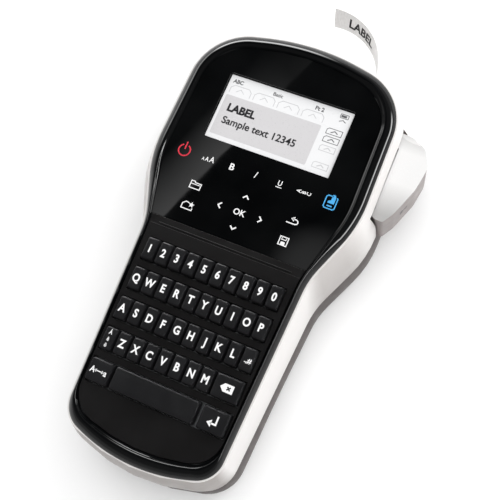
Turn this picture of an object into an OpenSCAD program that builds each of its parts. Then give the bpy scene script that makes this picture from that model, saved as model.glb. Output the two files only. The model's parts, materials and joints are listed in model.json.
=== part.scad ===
// Handheld label maker: letter keys and a display on a black face, silver side shell, dark rear housing
// with a cassette door and a battery cover, and a side lever that cuts the printed tape.
// X runs to the right, Y runs up the device towards the tape exit, and Z points out of the face.
// The device lies on its back on the plane Z = 0.

/* [Outline] */
// Half of the head's width at the black rim
head_half = 50.7; // [50.2:0.1:51.2]
// Half of the grip's width at the lower corners of the black rim
grip_half = 35.9; // [35.7:0.1:36.3]
// Height above the origin where the top edges of the black rim would meet
top_y = 105.8; // [105:0.2:107]
// Distance below the origin where the bottom edges of the black rim would meet
bottom_y = 105.5; // [105:0.1:106]
// How far the silver shell stands out past the black rim at its widest
shell_flare = 5.3; // [4.8:0.1:5.6]

/* [Heights] */
// Height of the seam between the rear housing and the silver shell
seam_z = 17; // [16.8:0.1:17.2]
// Height of the silver shell's rim, where the black face starts
rim_z = 46; // [45.8:0.1:46.2]
// Height of the display panel's face
panel_z = 48.8; // [48.7:0.1:49]
// Height of the keypad's deck
deck_z = 49.5; // [49.4:0.1:49.7]
// Height of the key tops
key_z = 52; // [51.8:0.1:52.4]
// Depth of the hollow for the fingers in the back of the grip
finger_depth = 4.5; // [3:0.5:5]

/* [Keys] */
// Distance between key columns
key_pitch = 6.6; // [6.58:0.01:6.62]
// Distance between key rows
row_pitch = 14.26; // [14.2:0.02:14.3]
// Width of one letter key
key_w = 6; // [5.8:0.05:6.1]
// Length of every key along the device
key_l = 10.4; // [10:0.1:10.6]
// How far each key face is smaller than its foot, on each side
key_draft = 0.5; // [0.3:0.05:0.7]
// Height of the number row's middle line
first_row_y = -13.5; // [-13.7:0.1:-13.3]

/* [Display] */
// Width of the display window
window_w = 60.8; // [58:0.2:61]
// Height of the display window
window_h = 32.8; // [31:0.2:33]
// Middle of the display window
window_y = 61.5; // [61:0.1:62]

/* [Cassette and tape] */
// Width of the label tape
tape_w = 12; // [9:0.5:12]
// Where the tape runs, to the right of the middle line
tape_x = 28.5; // [28.4:0.05:28.6]
// Height of the tape's middle above the back
tape_z = 14; // [13.8:0.1:14.2]
// Outer radius of the tape roll
roll_r = 21; // [14:0.5:21]

/* [Drive] */
// Tooth size of the gears
gear_module = 0.6; // [0.59:0.01:0.6]
// Teeth on the motor's pinion
pinion_teeth = 14; // [14:2:14]
// Teeth on the middle gear and on the roller's gear
gear_teeth = 24; // [24:2:24]
// Radius of the rubber platen roller
roller_r = 4; // [3.6:0.1:4]

/* [Cutter] */
// Thickness of the cutter blade
blade_t = 0.5; // [0.4:0.1:0.6]
// Radius of the lever's pin
pin_r = 1.5; // [1.4:0.1:1.6]

/* [Hidden] */
$fn = 48;
wall = 2.2;
floor_t = 2.4;
gap = 0.3;
running = 0.05;

// Corners of the outlines as [x, y, radius], down the right side from the top to the bottom
rim_corners = mirrored([
    [0, top_y, 110],
    [head_half - 1.4, top_y - 11, 27],
    [head_half, 29.5, 60],
    [39.4, -0.5, 40],
    [grip_half, -92.6, 12.5],
    [0, -bottom_y, 80]
]);
shell_corners = mirrored([
    [0, top_y + 1.4, 110],
    [head_half + shell_flare, top_y - 8.6, 24],
    [head_half + shell_flare + 0.3, 25, 52],
    [42.6, -7, 42],
    [grip_half + 1.7, -97, 16],
    [0, -bottom_y - 4.4, 80]
]);
face_corners = mirrored([
    [0, top_y - 7.3, 104],
    [head_half - 7.6, top_y - 17.2, 22],
    [head_half - 6.4, 30.5, 54],
    [36.2, -2, 44],
    [grip_half - 2.6, -87.5, 14],
    [0, -bottom_y + 9.1, 85]
]);
// Parts of each corner's arc, and of the straight run from it to the next corner
corner_steps = mirrored_steps([4, 8, 4, 4, 8, 4]);
run_parts = [1, 3, 1, 9, 1, 1, 9, 1, 3, 1];

// The back's edge as [inset, z]: a round at the flat of the back, then a slight swell up to the seam
rear_rounding = [[2.6, 0], [1, 0.4], [-0.2, 1.5], [-1, 3], [-1.4, 5], [-1.55, 8], [-1.35, 12.5], [-0.7, 15.5]];
rim_profile = [
    [0, 0], [0, 1.3], [0.06, 2.5], [0.18, 3.6], [0.36, 4.2],
    [0.54, 4.15], [0.72, 3.6], [0.88, 2.9], [1, 2.8], [1, 0]
];

// The keys below the number row, as [name, x, y, width]
letter_rows = [["q", "w", "e", "r", "t", "y", "u", "i", "o", "p"],
               ["a", "s", "d", "f", "g", "h", "j", "k", "l", "punctuation"],
               ["accent", "z", "x", "c", "v", "b", "n", "m"]];
letter_keys = [for (r = [0:2])
    for (k = [0:len(letter_rows[r]) - 1])
        [str("key_", letter_rows[r][k]), column_x(k), row_y(r + 1), key_w]];
row_left = column_x(0) - key_w / 2;
row_right = column_x(9) + key_w / 2;
wide_w = key_pitch + key_w;
caps_w = 10.8;
space_w = 39.8;
wide_keys = [
    ["key_backspace", row_right - wide_w / 2, row_y(3), wide_w],
    ["key_caps", row_left + caps_w / 2, row_y(4), caps_w],
    ["key_space", row_left + caps_w + 0.8 + space_w / 2, row_y(4), space_w],
    ["key_enter", row_right - wide_w / 2, row_y(4), wide_w]
];
single_keys = concat(letter_keys, wide_keys);
key_foot_z = rim_z + 1.2;

// The display module and the boards, from the back to the front
board_z = rim_z - 4;
board_t = 1.6;
sheet_z = board_z + board_t;
sheet_t = 0.8;
frame_z = sheet_z + sheet_t;
glass_z = panel_z - 1.3;

// The bay for the label cassette, its door and the mechanism
bay_x = [-46, 21];
bay_y = [34.5, 86.5];
cassette_z = [4, 22.5];
ceiling_z = 24.6;
ceiling_t = 2;
door_x = 46;
door_y = [28.6, 87];
door_t = 2;
hinge_r = 1.8;
hinge_pin_r = 0.9;
roll_at = [-21, 60.5];
take_up_at = [11, 74];
take_up_r = 6.5;
post_r = 4;
roller_at = [tape_x + 0.15 + gap + roller_r, 76];
gear_z = ceiling_z + ceiling_t + 0.6;
gear_t = 3;
middle_at = roller_at - [0, gear_module * gear_teeth];
motor_at = middle_at - [0, gear_module * (gear_teeth + pinion_teeth) / 2];
motor_r = 7;
shaft_r = 1;
axle_r = 1.5;
blade_y = 86;
lever_at = [50, 42];
lever_z = [seam_z + 0.5, rim_z - 6.2];
arm_z = seam_z + 6.4;
hub_r = 3.4;
pocket_x = 42.4;
pocket_y = [36.2, 81.2];
pocket_z = rim_z - 5.4;
liner_t = 1.2;
tape_t = 0.3;
// The free label bends left from here, gently at first, and leans back more and more
curl_start = [tape_x, 103];
gentle_r = 45;
gentle_turn = 25;
curl_r = 29.5;
curl_turn = 95;
curl_step = 5;
curl_lean = 18;
// The fed tape's middle line from the cassette to the blade
fed_line = [[bay_x[1] - 0.6, 63], [tape_x - 1.2, 64.5], [tape_x, 66.5], [tape_x, blade_y - 0.7]];
screw_spots = [[37, 8.5], [-37, 8.5], [38, 93], [-38, 93]];
socket_at = [-19.5, rim_z - 9];
usb_at = [-3, rim_z - 9];

// The battery compartment
cover_half = 31;
cover_y = -8;
cover_t = 2;
tongue_x = [16, 24];
tongue_l = 3.6;
pack_size = [50, 54, 16];
pack_at = [0, -49, 16.5];
finger_y = -49;
finger_half = 41;

function column_x(k) = (k - 4.5) * key_pitch;
function row_y(r) = first_row_y - r * row_pitch;
function unit(v) = v / norm(v);
function flat(c) = [c.x, c.y];

// The left side repeats the right side's corners, from the bottom to the top
function mirrored(side) =
    concat(side, [for (k = [len(side) - 2:-1:1]) [-side[k].x, side[k].y, side[k].z]]);
function mirrored_steps(side) = concat(side, [for (k = [len(side) - 2:-1:1]) side[k]]);

// Moves every edge of a clockwise outline out by g, and keeps its arcs concentric
function grown(c, g) = [for (k = [0:len(c) - 1])
    let (before = flat(c[(k + len(c) - 1) % len(c)]), here = flat(c[k]),
         after = flat(c[(k + 1) % len(c)]),
         d1 = unit(here - before), d2 = unit(after - here),
         n1 = [-d1.y, d1.x], n2 = [-d2.y, d2.x],
         moved = here + g * (n1 + n2) / (1 + n1 * n2),
         convex = d1.x * d2.y - d1.y * d2.x < 0)
    [moved.x, moved.y, c[k].z + (convex ? g : -g)]];

// The points of one rounded corner
function corner_arc(before, here, after, r, steps) =
    let (u = unit(before - here), v = unit(after - here), half = acos(u * v) / 2,
         middle = here + unit(u + v) * r / sin(half),
         from = here + u * r / tan(half) - middle,
         to = here + v * r / tan(half) - middle,
         start = atan2(from.y, from.x),
         turn = (atan2(to.y, to.x) - start + 540) % 360 - 180)
    [for (k = [0:steps]) middle + r * [cos(start + turn * k / steps), sin(start + turn * k / steps)]];

function rounded(c, steps) = [for (k = [0:len(c) - 1])
    each corner_arc(flat(c[(k + len(c) - 1) % len(c)]), flat(c[k]), flat(c[(k + 1) % len(c)]),
                    c[k].z, steps)];

// A whole outline, with its straight runs divided so that outlines can be blended point by point
function outline(c, g = 0) = let (
    moved = grown(c, g), n = len(c),
    arcs = [for (k = [0:n - 1]) corner_arc(flat(moved[(k + n - 1) % n]), flat(moved[k]),
                                           flat(moved[(k + 1) % n]), moved[k].z, corner_steps[k])])
    [for (k = [0:n - 1]) let (last = arcs[k][corner_steps[k]], next = arcs[(k + 1) % n][0])
        each concat(arcs[k], [for (j = [1:1:run_parts[k] - 1]) last + (next - last) * j / run_parts[k]])];
function between(a, b, t) = [for (k = [0:len(a) - 1]) a[k] * (1 - t) + b[k] * t];
function at_height(points, z) = [for (p = points) [p.x, p.y, z]];

// The silver shell's outline at height z, moved in by inset: it swells from the rim down
function shell_at(z, inset) =
    let (s = min(1, (rim_z - z) / (rim_z - 28)))
    at_height(between(outline(rim_corners, 0.8 - inset), outline(shell_corners, -inset), sin(90 * s)), z);

// The two triangles of each cell between loop a and loop b of n points
function cells(n, a, b) = [for (k = [0:n - 1]) let (j = (k + 1) % n)
    each [[a * n + k, a * n + j, b * n + j], [a * n + k, b * n + j, b * n + k]]];

// A solid from stacked loops, closed at both ends
module loft(loops) {
    n = len(loops[0]);
    top = (len(loops) - 1) * n;
    polyhedron(
        points = [for (loop = loops) each loop],
        faces = concat(
            [for (k = [0:len(loops) - 2]) each cells(n, k, k + 1)],
            [[for (k = [n - 1:-1:0]) k], [for (k = [0:n - 1]) top + k]]));
}

// A ring from loops that follow its section once around
module ring(loops) {
    n = len(loops[0]);
    polyhedron(
        points = [for (loop = loops) each loop],
        faces = [for (k = [0:len(loops) - 1]) each cells(n, k, (k + 1) % len(loops))]);
}

module slab(points, z0, z1) translate([0, 0, z0]) linear_extrude(z1 - z0) polygon(points);
module block(x, y, z) translate([x[0], y[0], z[0]]) cube([x[1] - x[0], y[1] - y[0], z[1] - z[0]]);
module post(at, r, z0, z1) translate([at.x, at.y, z0]) cylinder(r = r, h = z1 - z0);

// A box with its four upright edges rounded
module soft_block(x, y, z, r) {
    corners = [[x[0], y[0], r], [x[0], y[1], r], [x[1], y[1], r], [x[1], y[0], r]];
    slab(rounded(corners, 5), z[0], z[1]);
}

// The lower part of an outline, below y_top
module lower_part(points, y_top, z0, z1) intersection() {
    slab(points, z0, z1);
    block([-80, 80], [-140, y_top], [z0 - 1, z1 + 1]);
}

module window_hole(g, z0, z1)
    soft_block([-window_w / 2 - g, window_w / 2 + g],
               [window_y - window_h / 2 - g, window_y + window_h / 2 + g], [z0, z1], 0.4);

module key_slots(z0, z1) for (r = [0:4])
    block([row_left - 0.35, row_right + 0.35],
          [row_y(r) - key_l / 2 - 0.35, row_y(r) + key_l / 2 + 0.35], [z0, z1]);

module front_bezel() color("#0c0c0e")
    ring([for (p = rim_profile)
        at_height(between(outline(rim_corners), outline(face_corners), p[0]), rim_z + p[1])]);

module display_panel() color("#08080a") difference() {
    intersection() {
        slab(outline(face_corners, -0.12), rim_z + 0.1, panel_z);
        soft_block([-33.4 - 11, 33.4 + 11], [2.6, 140], [rim_z, panel_z + 1], 3.5);
    }
    window_hole(0.3, rim_z - 1, panel_z + 1);
}

module lcd_module() color("#d8dcd8") {
    difference() {
        soft_block([-35, 35], [window_y - 20.5, window_y + 20.5], [sheet_z, rim_z - 0.1], 1);
        block([-33.6, 33.6], [window_y - 19, window_y + 19], [rim_z - 0.5, rim_z]);
    }
    block([-31.6, 31.6], [window_y - 17.6, window_y + 17.6], [rim_z - 0.5, rim_z]);
    window_hole(-0.1, rim_z, glass_z);
}

module keypad_plate() color("#151517") difference() {
    union() {
        slab(outline(face_corners, 0.9), frame_z, rim_z);
        lower_part(outline(face_corners, -0.12), 2.4, rim_z, deck_z - 0.5);
        lower_part(outline(face_corners, -0.12), -1.6, rim_z, deck_z);
        block([-32, 32], [-0.9, -0.3], [rim_z, deck_z - 0.2]);
    }
    key_slots(frame_z - 1, deck_z + 1);
    block([-35.3, 35.3], [window_y - 20.8, window_y + 20.8], [frame_z - 1, rim_z + 1]);
}

module dome(at) translate([at.x, at.y, frame_z - 0.4]) cylinder(r1 = 2.4, r2 = 1.2, h = 1.8);

module keypad_domes() color("#8d9094") {
    lower_part(outline(face_corners, -1), 0, sheet_z, frame_z);
    for (k = [0:9]) dome([column_x(k), row_y(0)]);
    for (k = single_keys) dome([k[1], k[2]]);
}

module chip(x, y, size) translate([x, y, board_z - size.z]) cube(size);

module main_board() color("#1f5a3a") {
    slab(outline(face_corners, -1.4), board_z, sheet_z);
    chip(-22, 40, [14, 14, 1.6]);
    chip(4, 44, [10, 6, 1.4]);
    chip(-34, 66, [6, 8, 1.8]);
    chip(6, 60, [8, 5, 1.4]);
    chip(-4, 4, [12, 8, 2.2]);
    translate([usb_at.x - 4, 84, usb_at.y - 1.5]) difference() {
        cube([8, 16.4, board_z - usb_at.y + 1.5]);
        translate([0.5, 9, 0.5]) cube([7, 10, 2]);
    }
}

// A post for a case screw, with a rib that ties it to the wall
module shell_boss(at, rib_x, rib_y) difference() {
    union() {
        post(at, 4, seam_z, 31);
        block(rib_x, rib_y, [seam_z + 0.5, 29]);
    }
    post(at, 1.3, seam_z - 1, 29);
}

module side_shell() color("#c9c8c4") {
    levels_up = [seam_z, 28, 32.5, 37, 41.5, rim_z];
    levels_down = [rim_z, 37, 28, seam_z];
    difference() {
        ring(concat([for (z = levels_up) shell_at(z, 0)], [for (z = levels_down) shell_at(z, wall)]));
        block([pocket_x, 80], pocket_y, [seam_z - 1, pocket_z]);
        tape_slot(seam_z - 1, tape_z + tape_w / 2 + 1.6);
        post(lever_at, pin_r, pocket_z - 1, pocket_z + liner_t + 0.4);
        translate([socket_at.x, 92, socket_at.y]) rotate([-90, 0, 0]) cylinder(r = 3.4, h = 30);
        block([usb_at.x - 4.3, usb_at.x + 4.3], [92, 120], [usb_at.y - 1.9, usb_at.y + 1.9]);
    }
    for (side = [0, 1]) mirror([side, 0, 0]) {
        shell_boss(screw_spots[0], [40, 47], [7.5, 9.5]);
        shell_boss(screw_spots[2], [37.2, 38.8], [96, 98.8]);
    }
    lever_pocket();
}

// Walls behind, above and beside the lever, with a window for its arm and a bearing for its pin
module lever_pocket() {
    x = [pocket_x - liner_t, pocket_x];
    y = [pocket_y[0] - liner_t, pocket_y[1] + liner_t];
    difference() {
        union() {
            block(x, y, [seam_z, pocket_z + liner_t]);
            block([x[0], 53.4], [pocket_y[1], y[1]], [seam_z, pocket_z - 3]);
        }
        block([x[0] - 1, 51.6], [70, y[1] + 1], [seam_z - 1, arm_z + 0.6]);
    }
    block([x[0], 54], [y[0], pocket_y[0]], [seam_z, pocket_z - 3]);
    difference() {
        block([x[0], 51.2], y, [pocket_z, pocket_z + liner_t]);
        post(lever_at, pin_r, pocket_z - 1, pocket_z + liner_t + 1);
    }
}

// How far the back of the grip is hollowed for the fingers, and how that fades out towards the seam
function hollow(y) = abs(y - finger_y) > finger_half ? 0
    : finger_depth * (1 + cos(180 * (y - finger_y) / finger_half)) / 2;
function hollowed(points, z) = [for (p = points) [p.x, p.y, z + hollow(p.y) * (1 - z / seam_z)]];

// The back's closing face joins each point on the right to its twin on the left, from top to bottom
function twin(n, k) = (n + corner_steps[0] - k) % n;
function back_face(n) = [for (a = [corner_steps[0] / 2:(n + corner_steps[0]) / 2 - 1])
    let (b = a + 1, c = twin(n, b), d = twin(n, a))
    each concat(b == c ? [] : [[c, b, a]], a == d ? [] : [[c, a, d]])];

// The outer form of the back, with its rounded edge and the hollow for the fingers
module rear_form(g) {
    loops = [for (p = rear_rounding) hollowed(outline(shell_corners, g - p[0]), p[1])];
    all_loops = concat(loops, [hollowed(outline(shell_corners, g), seam_z)]);
    n = len(loops[0]);
    top = len(loops) * n;
    polyhedron(
        points = [for (loop = all_loops) each loop],
        faces = concat([for (k = [0:len(loops) - 1]) each cells(n, k, k + 1)], back_face(n),
                       [[for (k = [0:n - 1]) top + k]]));
}

module screw_hole(at) {
    post(at, 2.9, -1, 5);
    post(at, 1.6, 4, seam_z + 1);
}

module rear_housing() color("#5f5856") {
    difference() {
        union() {
            difference() {
                rear_form(-0.3);
                difference() {
                    translate([0, 0, floor_t]) rear_form(-0.3 - floor_t);
                    for (y = [-82, -21]) block([-60, 60], [y, y + 1.6], [0, seam_z + 3]);
                }
            }
            for (at = screw_spots) post(at, 4, 1.5, seam_z);
            block([pocket_x, 54.8], [pocket_y[0] - liner_t, pocket_y[1] + liner_t], [seam_z - 2, seam_z]);
            post(lever_at, 4, seam_z - 5, seam_z);
        }
        for (at = screw_spots) screw_hole(at);
        post(lever_at, pin_r, seam_z - 4, seam_z + 1);
        block([-80, 80], [-140, 140], [seam_z, seam_z + 5]);
        block([-cover_half - 0.3, cover_half + 0.3], [-140, cover_y + 0.3], [-1, 7.5]);
        soft_block([-door_x - 0.4, door_x + 0.4], [door_y[0] - 2.4, door_y[1] + 0.4], [-1, 5], 1);
        tape_slot(tape_z - tape_w / 2 - 1.6, seam_z + 1);
    }
    for (side = [0, 1]) mirror([side, 0, 0])
        hinge_rod(door_x - 6, door_x + 3, hinge_pin_r);
}

// A round rod along the door's hinge line
module hinge_rod(x0, x1, r) translate([x0, door_y[0], hinge_r]) rotate([0, 90, 0])
    cylinder(r = r, h = x1 - x0);

module tape_slot(z0, z1) block([tape_x - 0.9, tape_x + 0.9], [92, 120], [z0, z1]);

module mechanism_frame() color("#3c4046") {
    left = bay_x[0] - 2.5;
    difference() {
        union() {
            block([left, 40.9], [bay_y[0] - 2, bay_y[1] + 2], [ceiling_z, ceiling_z + ceiling_t]);
            block([left, bay_x[0] - 0.6], [bay_y[0] - 2, bay_y[1] + 2], [floor_t + 1, ceiling_z + 1]);
            block([left, bay_x[1] + 2], [bay_y[0] - 2, bay_y[0] - 0.5], [5.4, ceiling_z + 1]);
            block([left, bay_x[1]], [bay_y[1] + 0.5, bay_y[1] + 2], [5.4, ceiling_z + 1]);
            block([bay_x[1] + 0.5, bay_x[1] + 2], [bay_y[0] - 2, 62], [5.4, ceiling_z + 1]);
        }
        post(roller_at, axle_r + running, ceiling_z - 1, ceiling_z + ceiling_t + 1);
        post(motor_at, 2.6, ceiling_z - 1, ceiling_z + ceiling_t + 1);
    }
    post(middle_at, axle_r, ceiling_z + 1, gear_z + gear_t + 1);
}

module cassette_door() color("#5f5856") difference() {
    union() {
        soft_block([-door_x, door_x], [door_y[0], door_y[1]], [0, door_t], 0.8);
        hinge_rod(-door_x, door_x, hinge_r);
        for (x = [-30, 0, 26]) block([x, x + 4], [bay_y[1] - 5, bay_y[1] - 0.8], [door_t, 3.6]);
        for (k = [0:4]) block([-12, 12], [79 + k * 1.4, 79.6 + k * 1.4], [door_t, 2.6]);
    }
    for (side = [0, 1]) mirror([side, 0, 0])
        hinge_rod(door_x - 7, door_x + 1, hinge_pin_r + running);
    for (k = [0:4]) block([-11, 11], [77.4 + k * 1.8, 78.2 + k * 1.8], [-1, 0.5]);
}

module battery_cover() color("#5f5856") {
    difference() {
        rear_form(-0.3);
        translate([0, 0, cover_t]) rear_form(-0.3 - floor_t);
        block([-80, 80], [-140, 140], [7.2, seam_z + 5]);
        for (side = [-1, 1]) translate([side * (cover_half + 30), 0, 5]) cube([60, 300, 20], center = true);
        block([-80, 80], [cover_y, 140], [-1, 20]);
        for (k = [0:6]) block([-14, 14], [-22 + k * 1.8, -21.2 + k * 1.8], [-1, 0.8]);
    }
    for (side = [0, 1]) mirror([side, 0, 0]) {
        block(tongue_x, [cover_y - 3, cover_y - 0.3], [cover_t - 0.5, cover_t + 2.2]);
        block(tongue_x, [cover_y - 3, cover_y + tongue_l], [cover_t + 0.9, cover_t + 2.2]);
    }
}

module battery_pack() color("#34383c") translate(pack_at) {
    soft_block([-pack_size.x / 2, pack_size.x / 2], [-pack_size.y / 2, pack_size.y / 2],
               [-pack_size.z / 2, pack_size.z / 2], 4);
    for (k = [-1:1]) block([k * 7 - 2, k * 7 + 2], [pack_size.y / 2, pack_size.y / 2 + 0.8], [-2, 4]);
}

module label_cassette() color("#3a3f45") {
    difference() {
        soft_block(bay_x, bay_y, cassette_z, 4);
        soft_block([bay_x[0] + 1.4, bay_x[1] - 1.4], [bay_y[0] + 1.4, bay_y[1] - 1.4],
                   [cassette_z[0] + 1.2, cassette_z[1] - 1.2], 3);
        block([bay_x[1] - 2, bay_x[1] + 1], [60, 67], [tape_z - tape_w / 2 - 0.6, tape_z + tape_w / 2 + 0.6]);
        soft_block([-14, 16], [bay_y[0] + 4, bay_y[0] + 14], [cassette_z[0] - 1, cassette_z[0] + 0.3], 2);
    }
    post(roll_at, post_r, cassette_z[0] + 1, cassette_z[1] - 1);
    post(take_up_at, post_r / 2, cassette_z[0] + 1, cassette_z[1] - 1);
}

module spool(at, outer, inner) translate([at.x, at.y, tape_z - tape_w / 2])
    difference() {
        cylinder(r = outer, h = tape_w, $fn = 72);
        translate([0, 0, -1]) cylinder(r = inner + running, h = tape_w + 2);
    }

module tape_spool() color("#f4f4f0") spool(roll_at, roll_r, post_r);
module ribbon_spool() color("#202022") spool(take_up_at, take_up_r, post_r / 2);

// The centre line of the free label: straight out of the slot, a gentle bend, then a tighter curl
curl_points = [for (a = [0:curl_step:curl_turn]) curl_start + (a < gentle_turn
    ? gentle_r * [cos(a) - 1, sin(a)]
    : gentle_r * [cos(gentle_turn) - 1, sin(gentle_turn)]
        + curl_r * [cos(a) - cos(gentle_turn), sin(a) - sin(gentle_turn)])];

// One cross-section of the label, which heads a degrees left of +Y and leans back by lean degrees
function tape_section(at, a, lean) =
    let (left = [-cos(a), -sin(a), 0],
         across = (cos(lean) * [0, 0, 1] - sin(lean) * left) * tape_w / 2,
         through = (cos(lean) * left + sin(lean) * [0, 0, 1]) * tape_t / 2,
         middle = [at.x, at.y, tape_z])
    [middle + across - through, middle + across + through,
     middle - across + through, middle - across - through];

// Half the tape's thickness, square to a line at its point k
function half_tape(line, k) =
    let (before = unit(line[max(k, 1)] - line[max(k, 1) - 1]),
         next = min(k + 1, len(line) - 1),
         after = unit(line[next] - line[next - 1]),
         left = unit([-before.y - after.y, before.x + after.x]))
    left * tape_t / 2 / (left * [-before.y, before.x]);

module label_tape() color("white") {
    last = len(fed_line) - 1;
    slab(concat([for (k = [0:last]) fed_line[k] + half_tape(fed_line, k)],
                [for (k = [last:-1:0]) fed_line[k] - half_tape(fed_line, k)]),
         tape_z - tape_w / 2, tape_z + tape_w / 2);
    loft(concat([tape_section([tape_x, blade_y + 0.7], 0, 0)],
                [for (k = [0:len(curl_points) - 1]) let (a = k * curl_step)
                    tape_section(curl_points[k], a, curl_lean * a / curl_turn)]));
}

module print_head() color("#9aa0a4") {
    block([tape_x - 0.8, tape_x - 0.16], [72, 80], [tape_z - 7, tape_z + 7]);
    block([tape_x - 3.4, tape_x - 0.8], [71, 81], [tape_z - 7.6, ceiling_z]);
}

// Half of one gear tooth's angle at radius r, from the involute of its base circle
function involute(angle) = tan(angle) * 180 / PI - angle;
function tooth_half(teeth, r, base) =
    let (lean = r > base ? acos(base / r) : 0)
    90 / teeth + involute(20) - involute(lean) - 0.045 / r * 180 / PI;

module gear(teeth, bore, turn) {
    pitch_r = gear_module * teeth / 2;
    base = pitch_r * cos(20);
    root = pitch_r - 1.1 * gear_module;
    tip = pitch_r + 0.8 * gear_module;
    radii = [root, for (k = [0:4]) max(root + 0.01, base) + (tip - max(root + 0.01, base)) * k / 4];
    points = [for (n = [0:teeth - 1]) each concat(
        [for (r = radii) let (a = turn + 360 * n / teeth + tooth_half(teeth, r, base)) r * [cos(a), sin(a)]],
        [for (k = [len(radii) - 1:-1:0])
            let (a = turn + 360 * n / teeth - tooth_half(teeth, radii[k], base)) radii[k] * [cos(a), sin(a)]])];
    ordered = [for (n = [0:teeth - 1]) for (k = [len(radii) * 2 - 1:-1:0]) points[n * len(radii) * 2 + k]];
    difference() {
        linear_extrude(gear_t) polygon(ordered);
        translate([0, 0, -1]) cylinder(r = bore, h = gear_t + 2);
    }
}

module platen_roller() color("#2a2a2c") {
    post(roller_at, roller_r, tape_z - 7, tape_z + 7);
    post(roller_at, axle_r, 5, gear_z + gear_t + 0.8);
    translate([roller_at.x, roller_at.y, gear_z]) gear(gear_teeth, axle_r - 0.2, 90);
}

module drive_gear() color("#e8e6e0") translate([middle_at.x, middle_at.y, gear_z])
    gear(gear_teeth, axle_r + running, 90 + 180 / gear_teeth);

module motor_pinion() color("#c9a24a") translate([motor_at.x, motor_at.y, gear_z])
    gear(pinion_teeth, shaft_r + running, 90);

module drive_motor() color("#b4b8bc") {
    post(motor_at, motor_r, ceiling_z - 17, ceiling_z);
    post(motor_at, shaft_r, ceiling_z, gear_z + gear_t + 0.8);
    post(motor_at, 2.4, ceiling_z, ceiling_z + 1.2);
}

// The part of the lever that the thumb presses, as [x, y, radius], and the arm that drives the blade
paddle_corners = [
    [51.4, 80.2, 1.2], [57.6, 79.6, 3], [64.6, 75.4, 4], [68.7, 67.5, 7], [67, 56, 14],
    [62.2, 42.6, 8], [58.8, 36.9, 1.4], [55.2, 37.2, 1.4], [50.2, 40, 2.5]
];
lever_arm = [[48.6, 72], [52, 74], [52, 79], [50.6, 80.6], [49.4, 87.6], [46.9, 87.6], [46.9, 80]];
spring_z = 35.8;

module cutter_lever() color("#d6d5d2") difference() {
    union() {
        difference() {
            slab(rounded(paddle_corners, 6), lever_z[0], lever_z[1]);
            translate([60, 92, lever_z[1] + 22]) sphere(r = 27, $fn = 96);
        }
        post(lever_at, hub_r, lever_z[0], lever_z[1]);
        slab(lever_arm, lever_z[0], arm_z);
    }
    post(lever_at, pin_r + running, lever_z[0] - 1, lever_z[1] + 1);
    post(lever_at, hub_r + 0.2, spring_z - 0.3, lever_z[1] + 1);
    block([lever_at.x, lever_at.x + hub_r], [lever_at.y, lever_at.y + 30], [spring_z - 0.3, lever_z[1] + 1]);
    soft_block([55.5, 62.5], [52, 72], [lever_z[0] - 1, lever_z[1] - 3], 2);
}

module cutter_pin() color("#b9bdc1") post(lever_at, pin_r, seam_z - 4, pocket_z + liner_t + 0.4);

module cutter_blade() color("#c4c8cc") {
    block([31.2, 42], [blade_y - blade_t / 2, blade_y + blade_t / 2], [tape_z - 7, tape_z + 7]);
    block([40, 46.5], [blade_y - 1.6, blade_y + 1.6], [tape_z - 5, arm_z - 0.6]);
}

// A coil around the top of the hub, with one leg along the lever and one against the pocket's back
module lever_spring() color("#a8acb0") {
    wire = 0.4;
    coil_r = pin_r + 0.9;
    translate([lever_at.x, lever_at.y, 0]) {
        for (k = [0:2]) translate([0, 0, spring_z + wire + k * 1.6 * wire])
            rotate_extrude() translate([coil_r, 0]) circle(r = wire, $fn = 16);
        block([coil_r - wire, coil_r + wire], [0, 26], [spring_z + 0.2, spring_z + 0.9]);
        block([-coil_r - wire, -coil_r + wire], [0, 22], [spring_z + 1.2, spring_z + 1.9]);
    }
}

module case_screws() color("#8f9396") for (at = screw_spots) {
    difference() {
        post(at, 2.6, 2.6, 5);
        block([at.x - 1.6, at.x + 1.6], [at.y - 0.35, at.y + 0.35], [2, 3.6]);
        block([at.x - 0.35, at.x + 0.35], [at.y - 1.6, at.y + 1.6], [2, 3.6]);
    }
    post(at, 1.28, 4.8, 27);
}

module power_socket() color("#2b2b2d") translate([socket_at.x, 0, socket_at.y]) {
    difference() {
        block([-4.5, 4.5], [86, 99.4], [-4.5, board_z - socket_at.y]);
        translate([0, 91, 0]) rotate([-90, 0, 0]) cylinder(r = 2.75, h = 20);
    }
    translate([0, 90.5, 0]) rotate([-90, 0, 0]) cylinder(r = 0.9, h = 8);
}

// A key whose four sides lean in towards its face
module key(at, w) translate([at.x, at.y, 0]) {
    side = [[0, key_foot_z], [0, deck_z + 0.2], [key_draft, key_z - 0.15], [key_draft + 0.25, key_z]];
    intersection() {
        rotate([90, 0, 0]) linear_extrude(key_l, center = true) polygon(concat(
            [for (p = side) [-w / 2 + p.x, p.y]],
            [for (k = [len(side) - 1:-1:0]) [w / 2 - side[k].x, side[k].y]]));
        rotate([90, 0, 90]) linear_extrude(w, center = true) polygon(concat(
            [for (p = side) [-key_l / 2 + p.x, p.y]],
            [for (k = [len(side) - 1:-1:0]) [key_l / 2 - side[k].x, side[k].y]]));
    }
}

module number_keys() color("#1c1c1f") for (k = [0:9]) key([column_x(k), row_y(0)], key_w);

front_bezel();
display_panel();
lcd_module();
keypad_plate();
keypad_domes();
main_board();
side_shell();
rear_housing();
mechanism_frame();
cassette_door();
battery_cover();
battery_pack();
label_cassette();
tape_spool();
ribbon_spool();
label_tape();
print_head();
platen_roller();
drive_gear();
motor_pinion();
drive_motor();
cutter_lever();
cutter_pin();
cutter_blade();
lever_spring();
case_screws();
power_socket();
number_keys();
for (k = single_keys)
    color("#1c1c1f") key([k[1], k[2]], k[3]);
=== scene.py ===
import json
import math

import bmesh
import bpy
from mathutils import Matrix, Vector
from mathutils.geometry import tessellate_polygon


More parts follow.
